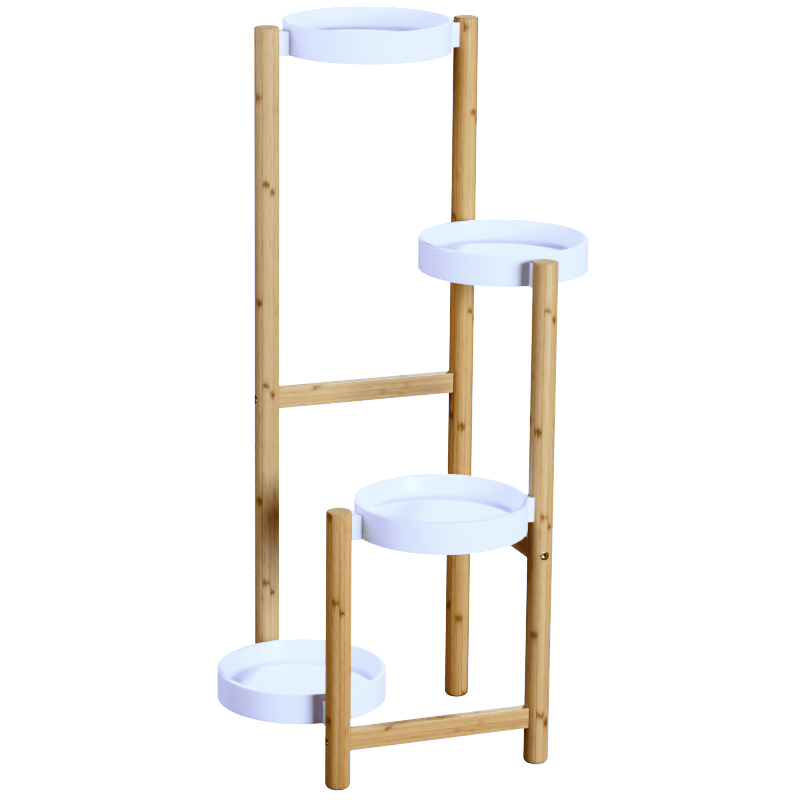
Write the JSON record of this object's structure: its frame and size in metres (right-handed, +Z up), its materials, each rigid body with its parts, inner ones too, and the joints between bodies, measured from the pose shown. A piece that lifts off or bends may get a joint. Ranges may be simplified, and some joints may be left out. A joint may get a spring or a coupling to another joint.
{
  "type": "tiered plant stand",
  "caption": "Stepped corner plant stand: round bamboo posts joined by flat rails, with round white plastic trays that hang between the posts at different heights.",
  "frame": {"origin": "on the floor at the centre of the square on which the posts stand", "axes": "+Z up; -Y towards the front, where the lower tray hangs; +X to the right, towards the upper tray"},
  "size_m": [0.45, 0.45, 0.8545],
  "materials": {
    "bamboo": "satin lacquer",
    "white_plastic": "glossy white",
    "steel": "zinc plated",
    "brass": "plain"
  },
  "bodies": {
    "stand_frame": {"back_left_post": "bamboo", "back_right_post": "bamboo", "front_right_post": "bamboo", "front_left_post": "bamboo", "back_rail": "bamboo", "back_rail_bolts": "steel", "back_rail_inserts": "brass", "right_rail": "bamboo", "right_rail_bolts": "steel", "right_rail_inserts": "brass", "front_rail": "bamboo", "front_rail_bolts": "steel", "front_rail_inserts": "brass", "top_tray_pegs": "steel", "upper_tray_pegs": "steel", "lower_tray_pegs": "steel", "bottom_tray_pegs": "steel"},
    "top_tray_body": {"top_tray": "white_plastic"},
    "upper_tray_body": {"upper_tray": "white_plastic"},
    "lower_tray_body": {"lower_tray": "white_plastic"},
    "bottom_tray_body": {"bottom_tray": "white_plastic"}
  },
  "joints": [
    {"name": "top_tray_lift", "type": "slide", "parent": "stand_frame", "child": "top_tray_body", "axis": [0, 0, 1], "range_m": [0, 0.04]},
    {"name": "upper_tray_lift", "type": "slide", "parent": "stand_frame", "child": "upper_tray_body", "axis": [0, 0, 1], "range_m": [0, 0.04]},
    {"name": "lower_tray_lift", "type": "slide", "parent": "stand_frame", "child": "lower_tray_body", "axis": [0, 0, 1], "range_m": [0, 0.04]},
    {"name": "bottom_tray_lift", "type": "slide", "parent": "stand_frame", "child": "bottom_tray_body", "axis": [0, 0, 1], "range_m": [0, 0.04]}
  ]
}
